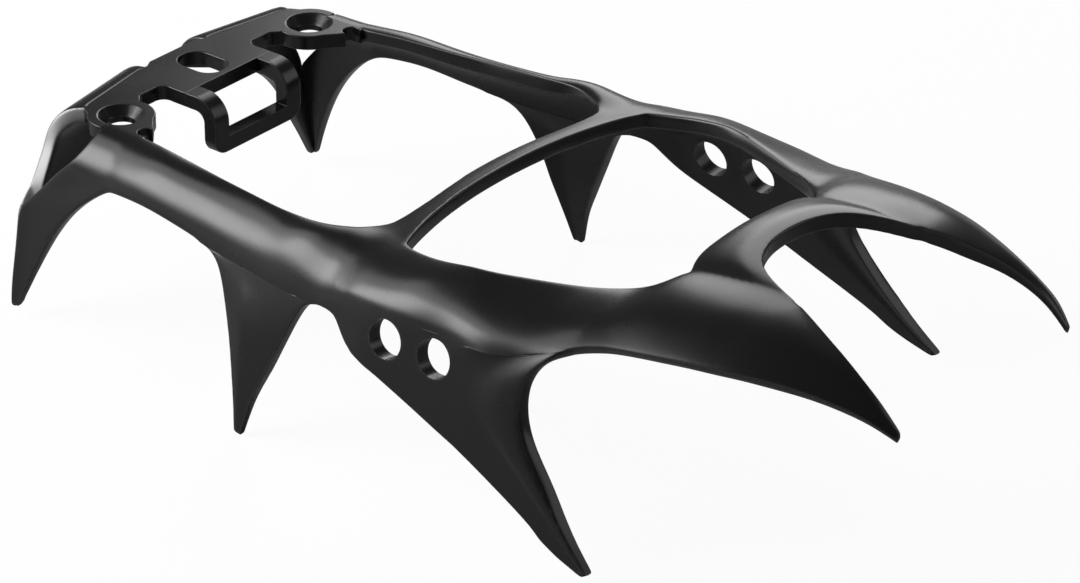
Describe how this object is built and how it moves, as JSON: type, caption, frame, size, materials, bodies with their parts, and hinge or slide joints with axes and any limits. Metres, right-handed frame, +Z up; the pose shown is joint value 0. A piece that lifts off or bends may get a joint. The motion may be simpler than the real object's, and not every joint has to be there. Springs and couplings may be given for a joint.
{
  "type": "crampon front section",
  "caption": "Pressed steel front section of a mountaineering crampon: rails joined by a plate, crossbar and yoke, with curved front points, downward points and bail holes.",
  "frame": {"origin": "on the top face of the rear plate, midway between its two countersunk screw holes", "axes": "+X forward to the front points, +Y across to the left, +Z up, out of the top face of the plate; the points hang down along -Z"},
  "size_m": [0.1967, 0.104, 0.0509],
  "materials": {
    "black_steel": "satin black coating on pressed steel"
  },
  "bodies": {
    "root": {"rear_plate": "black_steel", "link_loop": "black_steel", "crossbar": "black_steel", "front_yoke": "black_steel", "rear_flange_left": "black_steel", "rear_flange_right": "black_steel", "rear_point_left": "black_steel", "rear_point_right": "black_steel", "rear_rail_left": "black_steel", "rear_rail_right": "black_steel", "front_rail_left": "black_steel", "front_rail_right": "black_steel", "third_point_left": "black_steel", "third_point_right": "black_steel", "second_point_left": "black_steel", "second_point_right": "black_steel", "front_point_left": "black_steel", "front_point_right": "black_steel"}
  },
  "joints": []
}
